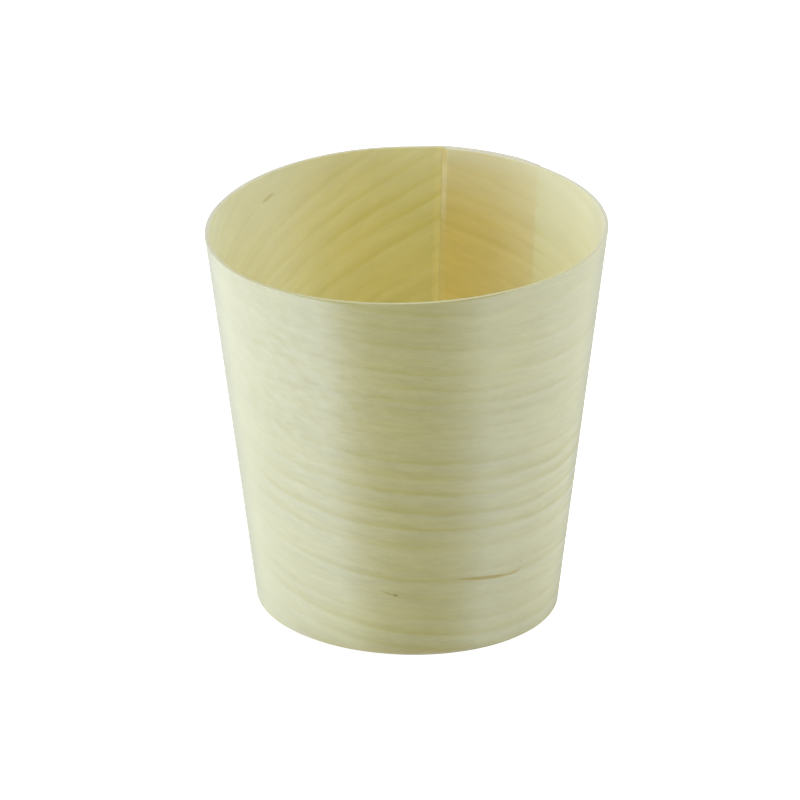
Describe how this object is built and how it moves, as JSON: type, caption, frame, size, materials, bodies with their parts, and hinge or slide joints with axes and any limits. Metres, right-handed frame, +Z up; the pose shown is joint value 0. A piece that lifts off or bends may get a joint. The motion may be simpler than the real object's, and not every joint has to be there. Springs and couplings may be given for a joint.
{
  "type": "rolled veneer cup",
  "caption": "Small tapered serving cup rolled from one sheet of pale wood veneer, with a lapped seam up the back and a flat base disc.",
  "frame": {"origin": "centre of the foot, at the level on which the cup stands", "axes": "+Z up along the cup's axis to the rim; -Y is the front; the lapped seam is at the back, towards +Y and +X"},
  "size_m": [0.0598, 0.0605, 0.06],
  "materials": {
    "wall_veneer": "Pale yellow green veneer, sanded and uncoated, satin, with fine level grain rings and a darker flush where two layers lap",
    "base_veneer": "Pale veneer disc, sanded and uncoated, straight grain"
  },
  "bodies": {
    "root": {"wall": "wall_veneer", "base_disc": "base_veneer"}
  },
  "joints": []
}
